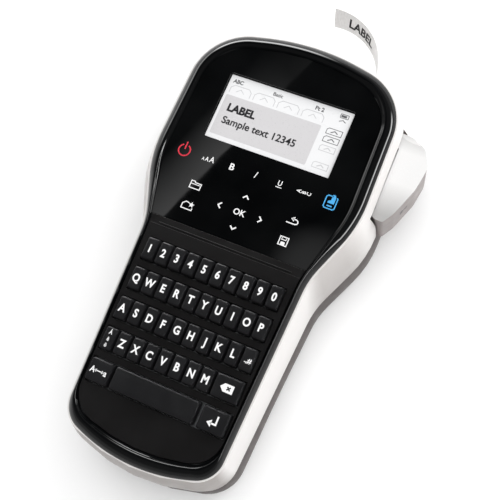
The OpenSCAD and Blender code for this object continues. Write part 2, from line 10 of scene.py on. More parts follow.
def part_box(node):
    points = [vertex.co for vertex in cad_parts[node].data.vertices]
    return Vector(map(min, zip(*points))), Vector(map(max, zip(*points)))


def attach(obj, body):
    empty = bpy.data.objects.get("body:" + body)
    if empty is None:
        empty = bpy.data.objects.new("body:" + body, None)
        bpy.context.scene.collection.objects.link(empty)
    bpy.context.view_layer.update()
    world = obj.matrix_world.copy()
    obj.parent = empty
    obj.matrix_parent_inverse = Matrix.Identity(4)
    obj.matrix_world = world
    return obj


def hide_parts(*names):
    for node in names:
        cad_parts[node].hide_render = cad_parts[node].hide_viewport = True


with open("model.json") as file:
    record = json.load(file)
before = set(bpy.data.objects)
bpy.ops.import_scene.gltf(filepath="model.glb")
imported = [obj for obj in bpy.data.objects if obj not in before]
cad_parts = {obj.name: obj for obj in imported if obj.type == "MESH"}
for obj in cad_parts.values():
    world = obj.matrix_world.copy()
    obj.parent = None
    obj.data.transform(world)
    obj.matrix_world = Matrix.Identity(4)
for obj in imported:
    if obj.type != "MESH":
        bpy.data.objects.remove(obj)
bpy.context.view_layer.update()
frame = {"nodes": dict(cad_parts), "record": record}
NODES = frame["nodes"]

MM = 0.001

# ---------------------------------------------------------------- shared helpers


def new_object(name, data):
    made = bpy.data.objects.new(name, data)
    bpy.context.scene.collection.objects.link(made)
    return made


def finished_mesh(made, name):
    """The mesh of a bmesh, which is then freed."""
    mesh = bpy.data.meshes.new(name)
    made.to_mesh(mesh)
    made.free()
    return mesh


# ---------------------------------------------------------------- camera

CAMERA_AT = Vector((93.3, -68.5, 389.5)) * MM
CAMERA_AIM = Vector((11.18, 2.32, 48.8)) * MM
CAMERA_ROLL = math.radians(23.3)
CAMERA_LENS = 59.29
SENSOR_WIDTH = 36
CAMERA_CLIP = (0.01, 20)


def make_camera():
    data = bpy.data.cameras.new("camera")
    data.lens = CAMERA_LENS
    data.sensor_width = SENSOR_WIDTH
    data.clip_start, data.clip_end = CAMERA_CLIP
    camera = new_object("camera", data)
    forward = (CAMERA_AIM - CAMERA_AT).normalized()
    up_hint = Vector((-math.sin(CAMERA_ROLL), math.cos(CAMERA_ROLL), 0))
    right = forward.cross(up_hint).normalized()
    up = right.cross(forward)
    turn = Matrix((right, up, -forward)).transposed().to_4x4()
    camera.matrix_world = Matrix.Translation(CAMERA_AT) @ turn
    bpy.context.scene.camera = camera


make_camera()

# ---------------------------------------------------------------- node trees

MIX_A, MIX_B, MIX_RESULT = 6, 7, 2  # the places of the mix node's colour sockets
NOISE_RANGE = (0.35, 0.65)  # most of a noise texture's values lie in here
SPECK_SCALE, SPECK_RANGE, SPECK_SHARE = 2400.0, (0.62, 0.75), 0.35
LEAST_LIFT = 0.002  # keeps the light patches of a near-black lighter than its dark ones


class Nodes:
    """A node tree, with short ways to add nodes to it."""

    def __init__(self, tree):
        self.tree = tree

    def node(self, kind, **settings):
        made = self.tree.nodes.new(kind)
        for key, value in settings.items():
            setattr(made, key, value)
        return made

    def feed(self, socket, value):
        """Links another node's output to the socket, or sets the socket's own value."""
        if hasattr(value, "is_linked"):
            self.tree.links.new(value, socket)
        else:
            socket.default_value = value

    def ramp(self, value, start, end, low, high, smooth=False):
        """Low where the value is at start, and high where it is at end."""
        made = self.node("ShaderNodeMapRange")
        made.interpolation_type = "SMOOTHSTEP" if smooth else "LINEAR"
        for socket, number in (("From Min", start), ("From Max", end),
                               ("To Min", low), ("To Max", high), ("Value", value)):
            self.feed(made.inputs[socket], number)
        return made.outputs["Result"]

    def along(self, vector, axis):
        """How far the vector points along that axis."""
        made = self.node("ShaderNodeVectorMath", operation="DOT_PRODUCT")
        self.feed(made.inputs[0], vector)
        self.feed(made.inputs[1], axis)
        return made.outputs["Value"]

    def part_of(self, vector, axis):
        """The vector's X, Y or Z."""
        made = self.node("ShaderNodeSeparateXYZ")
        self.feed(made.inputs[0], vector)
        return made.outputs[axis]


class Shader(Nodes):
    """A Principled material whose colour, roughness and bump come from procedural textures."""

    def __init__(self, name, roughness=0.5, metallic=0.0, coat=0.0, coat_roughness=0.05, ior=1.5):
        self.material = bpy.data.materials.new(name)
        self.material.use_nodes = True
        super().__init__(self.material.node_tree)
        self.inputs = self.tree.nodes["Principled BSDF"].inputs
        for socket, value in (("Roughness", roughness), ("Metallic", metallic), ("IOR", ior),
                              ("Coat Weight", coat), ("Coat Roughness", coat_roughness)):
            self.feed(self.inputs[socket], value)
        self.coords = self.node("ShaderNodeTexCoord").outputs

    def noise(self, scale, detail=3.0, stretch=(1, 1, 1)):
        mapping = self.node("ShaderNodeMapping")
        self.feed(mapping.inputs["Scale"], stretch)
        self.feed(mapping.inputs["Vector"], self.coords["Object"])
        made = self.node("ShaderNodeTexNoise")
        self.feed(made.inputs["Scale"], scale)
        self.feed(made.inputs["Detail"], detail)
        self.feed(made.inputs["Vector"], mapping.outputs["Vector"])
        return made.outputs["Fac"]

    def brick(self, scale, offset, colours, **sizes):
        """A brick texture in object coordinates, with the two bricks' and the mortar's colours."""
        made = self.node("ShaderNodeTexBrick", offset=offset)
        self.feed(made.inputs["Scale"], scale)
        self.feed(made.inputs["Vector"], self.coords["Object"])
        for socket, colour in zip(("Color1", "Color2", "Mortar"), colours):
            self.feed(made.inputs[socket], (*colour, 1))
        for socket, size in sizes.items():
            self.feed(made.inputs[socket.replace("_", " ").title()], size)
        return made.outputs

    def mix(self, factor, a, b):
        """Colour a where the factor is 0, and b where it is 1."""
        made = self.node("ShaderNodeMix", data_type="RGBA")
        self.feed(made.inputs["Factor"], factor)
        for socket, colour in ((MIX_A, a), (MIX_B, b)):
            self.feed(made.inputs[socket], colour if hasattr(colour, "is_linked") else (*colour, 1))
        return made.outputs[MIX_RESULT]

    def colour(self, value):
        self.feed(self.inputs["Base Color"], value)

    def rough(self, value):
        self.feed(self.inputs["Roughness"], value)

    def bump(self, height, depth):
        made = self.node("ShaderNodeBump")
        self.feed(made.inputs["Distance"], depth)
        self.feed(made.inputs["Strength"], 1.0)
        self.feed(made.inputs["Height"], height)
        self.feed(self.inputs["Normal"], made.outputs["Normal"])

    def mottled(self, colour, spread, scale=60.0):
        """The base colour, a little lighter and darker in soft patches, with fine light specks."""
        dark = [c * (1 - spread) for c in colour]
        light = [min(1, c * (1 + spread) + LEAST_LIFT) for c in colour]
        patches = self.mix(self.ramp(self.noise(scale), *NOISE_RANGE, 0, 1), dark, light)
        specks = self.ramp(self.noise(SPECK_SCALE, detail=1.0), *SPECK_RANGE, 0, SPECK_SHARE)
        self.colour(self.mix(specks, patches, light))

    def uneven(self, low, high, scale=180.0):
        """Roughness that wanders between low and high."""
        self.rough(self.ramp(self.noise(scale, detail=4.0), *NOISE_RANGE, low, high))


# ---------------------------------------------------------------- materials

# Depths of bumps are in metres
FLAKE_RANGE, FLAKE_SHARE, FLAKE_GAIN, FLAKE_DEPTH = (0.55, 0.75), 0.3, 1.12, 0.000006
SMEAR_RANGE, WAVE_DEPTH = (0.45, 0.8), 0.00001
BRUSH_RANGE, BRUSH_DARK, BRUSH_DEPTH = (0.3, 0.7), 0.82, 0.00001
PINHOLE_RANGE, PINHOLE_DARK, INK_DEPTH = (0.6, 0.8), 0.82, 0.000004
FIBRE_DEPTH = 0.000006
TRACK_DEPTH = 0.00003


def grained(name, colour, low, high, grain=900.0, depth=0.00002):
    """Moulded plastic with a fine spark-eroded grain."""
    made = Shader(name)
    made.mottled(colour, spread=0.03)
    made.uneven(low, high)
    made.bump(made.noise(grain, detail=2.0), depth)
    return made.material


def painted(name, colour, shade, towards, start, end, low, high, grain, ends=None):
    """Metallic paint with fine flakes, and painted shade that greys the faces turned away from that
    direction.

    Start and end are the cosines at which a face has the whole painted shade and the whole colour.
    Ends is a painted shade at both ends of the piece, standing in for the shading of curved ends,
    in shares of its length: (lower full, lower clear, upper clear, upper full, colour).
    """
    made = Shader(name)
    # Painted shade: the colour turns to the shade on faces turned away from the direction
    lit_share = made.ramp(made.along(made.coords["Normal"], towards), start, end, 0, 1)
    flakes = made.ramp(made.noise(grain, detail=2.0), *FLAKE_RANGE, 0, FLAKE_SHARE)
    pale = made.mix(flakes, colour, [min(1, c * FLAKE_GAIN) for c in colour])
    # Painted shade at the piece's ends, standing in for the shading of curved ends
    if ends:
        lower_full, lower_clear, upper_clear, upper_full, end_shade_colour = ends
        length = made.part_of(made.coords["Generated"], "Y")
        for fade in (made.ramp(length, lower_full, lower_clear, 1, 0),
                     made.ramp(length, upper_clear, upper_full, 0, 1)):
            pale = made.mix(fade, pale, end_shade_colour)
    made.colour(made.mix(lit_share, shade, pale))
    made.uneven(low, high)
    made.bump(made.noise(grain, detail=2.0), FLAKE_DEPTH)
    return made.material


def polished(name, colour, low, high, ior=1.5):
    """Gloss plastic: faint handling smears in the roughness and a very slight waviness."""
    made = Shader(name, ior=ior)
    made.mottled(colour, spread=0.1, scale=25.0)
    smears = made.noise(26.0, detail=5.0, stretch=(1, 3, 1))
    made.rough(made.ramp(smears, *SMEAR_RANGE, low, high))
    made.bump(made.noise(70.0, detail=1.0), WAVE_DEPTH)
    return made.material


def brushed(name, colour, low, high, stretch=(1, 14, 1)):
    """Metal with fine brushed or turned lines, across the axis with the greatest stretch."""
    made = Shader(name, metallic=1.0)
    lines = made.noise(900.0, stretch=stretch)
    dark = [c * BRUSH_DARK for c in colour]
    made.colour(made.mix(made.ramp(lines, *BRUSH_RANGE, 0, 1), dark, colour))
    made.rough(made.ramp(lines, *BRUSH_RANGE, low, high))
    made.bump(lines, BRUSH_DEPTH)
    return made.material


def printed(name, colour):
    """Screen-printed ink: nearly even, with pinholes and a slightly rough face."""
    made = Shader(name)
    pinholes = made.ramp(made.noise(1500.0, detail=2.0), *PINHOLE_RANGE, 0, 1)
    made.colour(made.mix(pinholes, colour, [c * PINHOLE_DARK for c in colour]))
    made.uneven(0.4, 0.55, scale=700.0)
    made.bump(made.noise(3000.0, detail=1.0), INK_DEPTH)
    return made.material


def display_face():
    """Reflective liquid-crystal glass: a pale grey-white with a faint grid of dots."""
    made = Shader("display_face", coat=0.6, coat_roughness=0.06)
    dots = made.brick(1 / MM, 0.0, ((0.73, 0.73, 0.74), (0.75, 0.75, 0.76), (0.79, 0.79, 0.80)),
                      brick_width=0.38, row_height=0.38, mortar_size=0.03)
    clouds = made.ramp(made.noise(20.0), *NOISE_RANGE, 0.0, 0.5)
    made.colour(made.mix(clouds, dots["Color"], (0.77, 0.775, 0.78)))
    made.uneven(0.22, 0.3, scale=60.0)
    return made.material


def tape_face():
    """Laminated paper tape: faint fibres across it under a satin film."""
    made = Shader("tape_face", coat=0.35, coat_roughness=0.2)
    fibres = made.noise(1400.0, stretch=(1, 1, 0.25))
    shade = made.ramp(fibres, *NOISE_RANGE, 0, 1)
    made.colour(made.mix(shade, (0.72, 0.71, 0.70), (0.80, 0.79, 0.78)))
    made.uneven(0.38, 0.5, scale=300.0)
    made.bump(fibres, FIBRE_DEPTH)
    return made.material


def board_face():
    """Green solder mask over a pattern of copper areas."""
    made = Shader("board_face", coat=0.4, coat_roughness=0.15)
    tracks = made.brick(400, 0.5, ((0.02, 0.11, 0.05), (0.03, 0.15, 0.07), (0.10, 0.26, 0.12)))
    made.colour(tracks["Color"])
    made.uneven(0.35, 0.5)
    made.bump(tracks["Fac"], TRACK_DEPTH)
    return made.material


# Colour, lowest and highest roughness, and where they aren't the usual ones the grain's fineness
# and its depth in metres
GRAINED = {
    "keypad_black": ((0.0045, 0.004, 0.0042), 0.34, 0.46, 1500.0, 0.000012),
    "key_black": ((0.0075, 0.0075, 0.0085), 0.32, 0.46, 1300.0, 0.000014),
    "silicone": ((0.28, 0.29, 0.30), 0.55, 0.7),
    "grey_plastic": ((0.085, 0.073, 0.070), 0.5, 0.66, 700.0, 0.00004),
    "frame_plastic": ((0.035, 0.04, 0.046), 0.5, 0.62),
    "cassette_plastic": ((0.03, 0.036, 0.046), 0.4, 0.55),
    "roller_rubber": ((0.014, 0.014, 0.015), 0.65, 0.8),
    "gear_nylon": ((0.74, 0.72, 0.66), 0.4, 0.55),
    "socket_black": ((0.012, 0.012, 0.013), 0.45, 0.6),
}

# Colour, lowest and highest roughness, and the black rim's own index of refraction
POLISHED = {
    "black_gloss": ((0.0015, 0.0017, 0.002), 0.03, 0.06, 1.33),
    "display_lens": ((0.0012, 0.0014, 0.0016), 0.02, 0.05),
    "battery_wrap": ((0.02, 0.022, 0.028), 0.25, 0.4),
    "ribbon_black": ((0.006, 0.006, 0.008), 0.2, 0.35),
}

# Colour, lowest and highest roughness, and the brass pinion's own direction of its lines
BRUSHED = {
    "head_aluminium": ((0.6, 0.61, 0.63), 0.3, 0.45),
    "pinion_brass": ((0.72, 0.5, 0.2), 0.25, 0.4, (1, 1, 10)),
    "steel": ((0.58, 0.59, 0.61), 0.25, 0.42),
}

FINISH = {
    "display": display_face(),
    "board_green": board_face(),
    "label_white": tape_face(),
    # Silver paint with painted shade: greyer on faces turned towards -Y, away from the light
    "silver_plastic": painted("silver_plastic", (0.76, 0.74, 0.725), (0.32, 0.29, 0.275),
                              towards=(0, 1, 0), start=-0.5, end=-0.12,
                              low=0.32, high=0.42, grain=2200.0),
    # Lever paint with painted shade: its walls greyer than its top, and painted shade at both ends
    # of its length
    "lever_plastic": painted("lever_plastic", (0.74, 0.735, 0.73), (0.27, 0.236, 0.23),
                             towards=(0, 0, 1), start=0.2, end=0.85,
                             low=0.36, high=0.48, grain=2000.0,
                             ends=(0.06, 0.38, 0.68, 0.92, (0.38, 0.375, 0.37))),
}
for make, table in ((grained, GRAINED), (polished, POLISHED), (brushed, BRUSHED)):
    FINISH.update({slot: make(slot, *values) for slot, values in table.items()})

INK_WHITE = printed("ink_white", (0.80, 0.80, 0.80))
INK_RED = printed("ink_red", (0.62, 0.02, 0.045))
INK_BLUE = printed("ink_blue", (0.05, 0.36, 0.72))
INK_DARK = printed("ink_dark", (0.012, 0.012, 0.014))
INK_PALE = printed("ink_pale", (0.50, 0.50, 0.51))
INK_MID = printed("ink_mid", (0.10, 0.10, 0.105))
INK_BOX = printed("ink_box", (0.56, 0.55, 0.56))

for part in frame["record"]["subparts"]:
    materials = NODES[part["node"]].data.materials
    materials.clear()
    materials.append(FINISH[part["material_slot"]])

# ---------------------------------------------------------------- smooth CAD surfaces

WELD_DISTANCE = 0.00001
SMOOTH_BELOW = math.radians(30)
BEVEL_ABOVE, BEVEL_SEGMENTS = math.radians(32), 2

# Edge rounding in millimetres, for the nodes that have one
ROUNDING = {"cutter_lever": 0.7, "cassette_door": 0.25, "battery_cover": 0.25, "keypad_plate": 0.4,
            "case_screws": 0.12, "drive_motor": 0.2, "print_head": 0.15, "battery_pack": 0.3}


def smooth_by_angle():
    """A modifier tree that smooths the faces and every edge flatter than SMOOTH_BELOW."""
    tree = bpy.data.node_groups.new("smooth_by_angle", "GeometryNodeTree")
    for way in ("INPUT", "OUTPUT"):
        tree.interface.new_socket("Geometry", in_out=way, socket_type="NodeSocketGeometry")
    new, link = tree.nodes.new, tree.links.new
    start, end = new("NodeGroupInput"), new("NodeGroupOutput")
    faces, edges = new("GeometryNodeSetShadeSmooth"), new("GeometryNodeSetShadeSmooth")
    faces.domain, edges.domain = "FACE", "EDGE"
    angle, compare = new("GeometryNodeInputMeshEdgeAngle"), new("FunctionNodeCompare")
    compare.operation = "LESS_THAN"
    compare.inputs["B"].default_value = SMOOTH_BELOW
    link(angle.outputs["Unsigned Angle"], compare.inputs["A"])
    link(start.outputs[0], faces.inputs["Geometry"])
    link(faces.outputs[0], edges.inputs["Geometry"])
    link(compare.outputs[0], edges.inputs["Shade Smooth"])
    link(edges.outputs[0], end.inputs[0])
    return tree


SMOOTH = smooth_by_angle()


def soften(obj, width=0.0):
    """Welds an object's mesh, rounds its sharp edges by width millimetres, and smooths the rest."""
    mesh = obj.data
    if "custom_normal" in mesh.attributes:
        mesh.attributes.remove(mesh.attributes["custom_normal"])
    weld = obj.modifiers.new("weld", "WELD")
    weld.merge_threshold = WELD_DISTANCE
    if width:
        bevel = obj.modifiers.new("edges", "BEVEL")
        bevel.width = width * MM
        bevel.segments = BEVEL_SEGMENTS
        bevel.limit_method = "ANGLE"
        bevel.angle_limit = BEVEL_ABOVE
        bevel.use_clamp_overlap = True
    smooth = obj.modifiers.new("smooth", "NODES")
    smooth.node_group = SMOOTH
    if width:
        flat = obj.modifiers.new("flat_faces", "WEIGHTED_NORMAL")
        flat.keep_sharp = True


for name in NODES:
    soften(NODES[name], ROUNDING.get(name, 0.0))

# ---------------------------------------------------------------- making meshes and pieces


def ring_mesh(name, loops, closed):
    """A mesh through equal loops of points in millimetres, stacked in order."""
    made = bmesh.new()
    rows = [[made.verts.new(Vector(p) * MM) for p in loop] for loop in loops]
    n = len(loops[0])
    for a, b in zip(rows, rows[1:] + (rows[:1] if closed else [])):
        for k in range(n):
            j = (k + 1) % n
            made.faces.new((a[k], a[j], b[j], b[k]))
    if not closed:
        made.faces.new(rows[0][::-1])
        made.faces.new(rows[-1])
    bmesh.ops.recalc_face_normals(made, faces=made.faces)
    return finished_mesh(made, name)


def join_meshes(meshes):
    joined = bmesh.new()
    for mesh in meshes:
        joined.from_mesh(mesh)
    return finished_mesh(joined, "joined")


def moved(mesh, x, y, z=0.0, turn=0.0):
    """The mesh itself, turned by that many degrees and then moved by millimetres."""
    place = Matrix.Translation(Vector((x, y, z)) * MM)
    mesh.transform(place @ Matrix.Rotation(math.radians(turn), 4, "Z"))
    return mesh


def arc(radius, start, end, steps, centre=(0, 0)):
    """Points around the centre, from one angle in degrees to another."""
    angles = [math.radians(start + (end - start) * k / steps) for k in range(steps + 1)]
    return [(centre[0] + radius * math.cos(a), centre[1] + radius * math.sin(a)) for a in angles]


def rounded_box(w, h, r, centre=(0, 0), steps=5):
    """The outline of a box with rounded corners."""
    cx, cy = centre
    points = []
    for sx, sy, start in ((1, 1, 0), (-1, 1, 90), (-1, -1, 180), (1, -1, 270)):
        corner = (cx + sx * (w / 2 - r), cy + sy * (h / 2 - r))
        points += arc(r, start, start + 90, steps, corner)
    return points


def add_piece(name, mesh, material, body):
    mesh.materials.clear()
    mesh.materials.append(material)
    piece = new_object(name, mesh)
    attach(piece, body)
    return piece


def stands_for(name, mesh, slot, node, body):
    """A detailed piece shown instead of a CAD node, with that node's finish."""
    piece = add_piece(name, mesh, FINISH[slot], body)
    soften(piece)
    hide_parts(node)
    return piece


# ---------------------------------------------------------------- the bezel

# The right side's corners from the top down: x, y and radius in millimetres
RIM_CORNERS = ((0, 105.8, 110), (49.3, 94.8, 27), (50.7, 29.5, 60),
               (39.4, -0.5, 40), (35.9, -92.6, 12.5), (0, -105.5, 80))
FACE_CORNERS = ((0, 98.5, 104), (43.1, 88.6, 22), (44.3, 30.5, 54),
                (36.2, -2, 44), (33.3, -87.5, 14), (0, -96.4, 85))
CORNER_STEPS = (24, 32, 24, 24, 32, 24)
RUN_STEPS = (2, 8, 4, 20, 4)

# The bezel's section: the share of the way in from the rim to the face, and the height above RIM_Z
RIM_Z = 46.0
BEAD = ((0, 0.5), (0.07, 1.2), (0.18, 2.05), (0.32, 2.9), (0.46, 3.6), (0.58, 4.05), (0.66, 4.2),
        (0.74, 4.0), (0.84, 3.3), (0.92, 2.85), (0.95, 2.78))
BEAD_STEPS = 4
INNER_HEIGHT = 2.72


def corner_arc(before, here, after, radius, steps):
    """The points of a rounded corner between two straight sides."""
    u, v = (before - here).normalized(), (after - here).normalized()
    half = math.acos(u.dot(v)) / 2
    middle = here + (u + v).normalized() * radius / math.sin(half)
    first, last = (here + w * radius / math.tan(half) - middle for w in (u, v))
    start = math.atan2(first.y, first.x)
    turn = math.atan2(last.y, last.x) - start
    turn = (turn + 3 * math.pi) % (2 * math.pi) - math.pi
    angles = [start + turn * k / steps for k in range(steps + 1)]
    return [middle + radius * Vector((math.cos(a), math.sin(a))) for a in angles]


def outline(side):
    """A rounded outline around the face, with as many points for every set of corners."""
    corners = side + tuple((-x, y, r) for x, y, r in side[-2:0:-1])
    steps = CORNER_STEPS + CORNER_STEPS[-2:0:-1]
    runs = RUN_STEPS + RUN_STEPS[::-1]
    n = len(corners)
    flat = [Vector(c[:2]) for c in corners]
    arcs = [corner_arc(flat[k - 1], flat[k], flat[(k + 1) % n], corners[k][2], steps[k])
            for k in range(n)]
    points = []
    for k in range(n):
        last, following = arcs[k][-1], arcs[(k + 1) % n][0]
        points += arcs[k]
        points += [last.lerp(following, j / runs[k]) for j in range(1, runs[k])]
    return points


def smooth_line(points, steps):
    """A Catmull-Rom curve through the points."""
    line = []
    last = len(points) - 1
    for k in range(last):
        p0, p1, p2, p3 = (Vector(points[min(max(j, 0), last)]) for j in range(k - 1, k + 3))
        for j in range(steps):
            t = j / steps
            line.append(0.5 * (2 * p1 + (p2 - p0) * t + (2 * p0 - 5 * p1 + 4 * p2 - p3) * t * t
                               + (3 * p1 - 3 * p2 + p3 - p0) * t * t * t))
    return line + [Vector(points[-1])]


def make_bezel():
    rim, face = outline(RIM_CORNERS), outline(FACE_CORNERS)
    section = [(0, 0), *smooth_line(BEAD, BEAD_STEPS), (1, INNER_HEIGHT), (1, 0)]
    loops = [[(*a.lerp(b, t), RIM_Z + dz) for a, b in zip(rim, face)] for t, dz in section]
    stands_for("bezel", ring_mesh("bezel", loops, True), "black_gloss", "front_bezel", "body")


make_bezel()

# ---------------------------------------------------------------- key caps

# A cap's section: how far in from its edge, and the share of its height
KEY_SECTION = ((0, 0), (0, 0.62), (0.14, 0.7), (0.34, 0.86), (0.5, 0.94), (0.72, 0.972),
               (1.05, 0.985), (1.5, 0.992), (2.1, 0.998))
KEY_CORNER, KEY_CORNER_LEAST, CORNER_PER_INSET = 0.95, 0.3, 0.4
NUMBERS = "1234567890"


def middle_of(node):
    low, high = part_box(node)
    return (low.x + high.x) / 2 / MM, (low.y + high.y) / 2 / MM


def cap_mesh(low, high):
    """A key cap in that box, with soft corners and a faintly crowned face."""
    w, h = (high.x - low.x) / MM, (high.y - low.y) / MM
    centre = ((high.x + low.x) / 2 / MM, (high.y + low.y) / 2 / MM)
    foot, top = low.z / MM, high.z / MM
    loops = []
    for inset, rise in KEY_SECTION:
        corner = max(KEY_CORNER_LEAST, KEY_CORNER - inset * CORNER_PER_INSET)
        ring = rounded_box(w - 2 * inset, h - 2 * inset, corner, centre)
        loops.append([(x, y, foot + (top - foot) * rise) for x, y in ring])
    return ring_mesh("cap", loops, False)


def make_caps():
    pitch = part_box("key_w")[0].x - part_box("key_q")[0].x
    low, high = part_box("number_keys")
    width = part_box("key_q")[1].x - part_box("key_q")[0].x
    cap = Vector((width, high.y - low.y, high.z - low.z))
    starts = [low + Vector((pitch * k, 0, 0)) for k in range(len(NUMBERS))]
    row = join_meshes([cap_mesh(start, start + cap) for start in starts])
    stands_for("number_caps", row, "key_black", "number_keys", "number_row")
    for node in NODES:
        if node.startswith("key_"):
            mesh = cap_mesh(*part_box(node))
            stands_for(node.replace("key_", "cap_"), mesh, "key_black", node, node)


make_caps()

# ---------------------------------------------------------------- lettering and marks

INK = 0.03  # half the thickness of every mark, in millimetres
END_SHARE = 0.6  # how far an open line reaches past its end, in half widths
MITRE_LEAST = 0.45  # keeps a line's sharp corners from reaching too far


def letter_mesh(text, weight=0.0, lean=0.0):
    """The mesh of a text in the built-in font, one unit high."""
    curve = bpy.data.curves.new("lettering", "FONT")
    curve.body = text
    curve.size = 1.0
    curve.offset = weight
    curve.shear = lean
    curve.extrude = 0.01
    curve.resolution_u = 4
    holder = new_object("holder", curve)
    bpy.context.view_layer.update()
    graph = bpy.context.evaluated_depsgraph_get()
    mesh = bpy.data.meshes.new_from_object(holder.evaluated_get(graph))
    bpy.data.objects.remove(holder)
    return mesh


CAPITAL = max(v.co.y for v in letter_mesh("H").vertices)


def lettering(text, cap, weight=0.0, lean=0.0, narrow=0.84):
    """Flat letters with capitals cap millimetres high, centred on the origin and narrowed."""
    mesh = letter_mesh(text, weight, lean)
    xs = [v.co.x for v in mesh.vertices]
    middle = (min(xs) + max(xs)) / 2
    scale = cap * MM / CAPITAL
    for v in mesh.vertices:
        v.co.x = (v.co.x - middle) * scale * narrow
        v.co.y = (v.co.y - CAPITAL / 2) * scale
        v.co.z = (INK if v.co.z > 0 else -INK) * MM
    return mesh


def half_width(mesh):
    """How far a centred mesh reaches to the right, in millimetres."""
    return max(v.co.x for v in mesh.vertices) / MM


def stroke(points, width, closed=False):
    """A flat line of that width along the points, in millimetres."""
    made = bmesh.new()
    points = [Vector(p) for p in points]
    count = len(points)
    half = width / 2
    left, right = [], []
    for k, p in enumerate(points):
        before = points[k - 1] if k or closed else None
        after = points[(k + 1) % count] if k < count - 1 or closed else None
        d1 = (p - before).normalized() if before is not None else (after - p).normalized()
        d2 = (after - p).normalized() if after is not None else d1
        tangent = (d1 + d2).normalized()
        normal = Vector((-tangent.y, tangent.x))
        reach = half / max(MITRE_LEAST, normal.dot(Vector((-d1.y, d1.x))))
        if before is None:
            p = p - d1 * half * END_SHARE
        if after is None:
            p = p + d1 * half * END_SHARE
        left.append(p + normal * reach)
        right.append(p - normal * reach)
    (ll, lr), (ul, ur) = ([[made.verts.new((q.x * MM, q.y * MM, z * MM)) for q in side]
                           for side in (left, right)] for z in (-INK, INK))
    for k in range(count if closed else count - 1):
        j = (k + 1) % count
        made.faces.new((ul[k], ur[k], ur[j], ul[j]))
        made.faces.new((ll[j], lr[j], lr[k], ll[k]))
        made.faces.new((ul[k], ul[j], ll[j], ll[k]))
        made.faces.new((ur[j], ur[k], lr[k], lr[j]))
    if not closed:
        made.faces.new((ul[0], ll[0], lr[0], ur[0]))
        made.faces.new((ul[-1], ur[-1], lr[-1], ll[-1]))
    return finished_mesh(made, "stroke")


def patch(points):
    """A flat plate with that outline, in millimetres."""
    made = bmesh.new()
    bottom, top = ([made.verts.new((x * MM, y * MM, z * MM)) for x, y in points]
                   for z in (-INK, INK))
    made.faces.new(top)
    made.faces.new(bottom[::-1])
    for k in range(len(points)):
        j = (k + 1) % len(points)
        made.faces.new((bottom[k], bottom[j], top[j], top[k]))
    bmesh.ops.recalc_face_normals(made, faces=made.faces)
    return finished_mesh(made, "patch")


# ---------------------------------------------------------------- key legends

KEY_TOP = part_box("key_q")[1].z / MM
LEGEND_CAP, LEGEND_WEIGHT = 3.45, 0.032
MARK_WEIGHT = 0.02


def legend(node, mesh, body=None, at=None, name=None):
    """White ink on a key's face, at the key's middle unless a place is given."""
    x, y = at or middle_of(node)
    moved(mesh, x, y, KEY_TOP)
    add_piece(name or node.replace("key_", "legend_"), mesh, INK_WHITE, body or node)


number_y = middle_of("number_keys")[1]
first_x, last_x = middle_of("key_q")[0], middle_of("key_p")[0]
for k, digit in enumerate(NUMBERS):
    x = first_x + (last_x - first_x) * k / (len(NUMBERS) - 1)
    legend("number_keys", lettering(digit, LEGEND_CAP, LEGEND_WEIGHT), "number_row",
           (x, number_y), "legend_" + digit)

for letter in "qwertyuiopasdfghjklzxcvbnm":
    legend("key_" + letter, lettering(letter.upper(), LEGEND_CAP, LEGEND_WEIGHT))

x, y = middle_of("key_punctuation")
legend("key_punctuation", lettering(".,#", 2.1, MARK_WEIGHT, narrow=1.0), at=(x + 0.4, y - 0.4))
legend("key_accent", join_meshes([moved(lettering(sign, 1.75, MARK_WEIGHT), 0, dy)
                                  for sign, dy in (("Á", 2.7), ("ê", -0.3), ("ö", -3.0))]))
arrow = [stroke([(-1.9, 0), (1.9, 0)], 0.42),
         patch([(-2.4, 0), (-1.2, 0.75), (-1.2, -0.75)]),
         patch([(2.4, 0), (1.2, -0.75), (1.2, 0.75)])]
legend("key_caps", join_meshes([moved(lettering("A", 2.6, MARK_WEIGHT), -3.0, 0),
                                moved(join_meshes(arrow), 0.1, -0.1),
                                moved(lettering("a", 2.6, MARK_WEIGHT), 3.0, 0)]))


def backspace_mark():
    """A tag that points left, with a cross cut out of it."""
    tag = [(-3.0, 0), (-1.3, 1.8), (2.9, 1.8), (2.9, -1.8), (-1.3, -1.8)]
    arm_half, arm_reach, cross_x = 0.32, 1.05, 0.8
    cross = []
    for degrees in (45, 315, 225, 135):
        c, s = math.cos(math.radians(degrees)), math.sin(math.radians(degrees))
        for u, v in ((arm_half, arm_half), (arm_reach, arm_half), (arm_reach, -arm_half)):
            cross.append((cross_x + u * c - v * s, u * s + v * c))
    made = bmesh.new()
    bottom, top = ([made.verts.new((x * MM, y * MM, z * MM)) for x, y in tag + cross]
                   for z in (INK, 3 * INK))
    for triangle in tessellate_polygon([[Vector((x, y, 0)) for x, y in ring]
                                        for ring in (tag, cross)]):
        made.faces.new([top[k] for k in triangle])
        made.faces.new([bottom[k] for k in reversed(triangle)])
    for first, count in ((0, len(tag)), (len(tag), len(cross))):
        for k in range(count):
            a, b = first + k, first + (k + 1) % count
            made.faces.new((bottom[a], bottom[b], top[b], top[a]))
    bmesh.ops.recalc_face_normals(made, faces=made.faces)
    return finished_mesh(made, "backspace")


legend("key_backspace", backspace_mark())
legend("key_enter", join_meshes([stroke([(1.6, 2.2), (1.6, -1.2), (-0.6, -1.2)], 0.75),
                                 patch([(-2.5, -1.2), (-0.4, 0.35), (-0.4, -2.75)])]))

# ---------------------------------------------------------------- touch icons on the panel

PANEL_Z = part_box("display_panel")[1].z / MM
LINE, THIN_LINE = 0.45, 0.35


def icon(name, x, y, meshes, material=INK_WHITE):
    """A mark on the panel, drawn around the origin in millimetres and moved to its place."""
    mesh = join_meshes(meshes)
    moved(mesh, x, y, PANEL_Z)
    add_piece("icon_" + name, mesh, material, "body")


def star(centre, outer, inner):
    """A five-pointed star with those radii, one point up."""
    points = []
    for k in range(10):
        angle, radius = math.radians(90 + 36 * k), inner if k % 2 else outer
        points.append((math.cos(angle) * radius + centre[0], math.sin(angle) * radius + centre[1]))
    return points


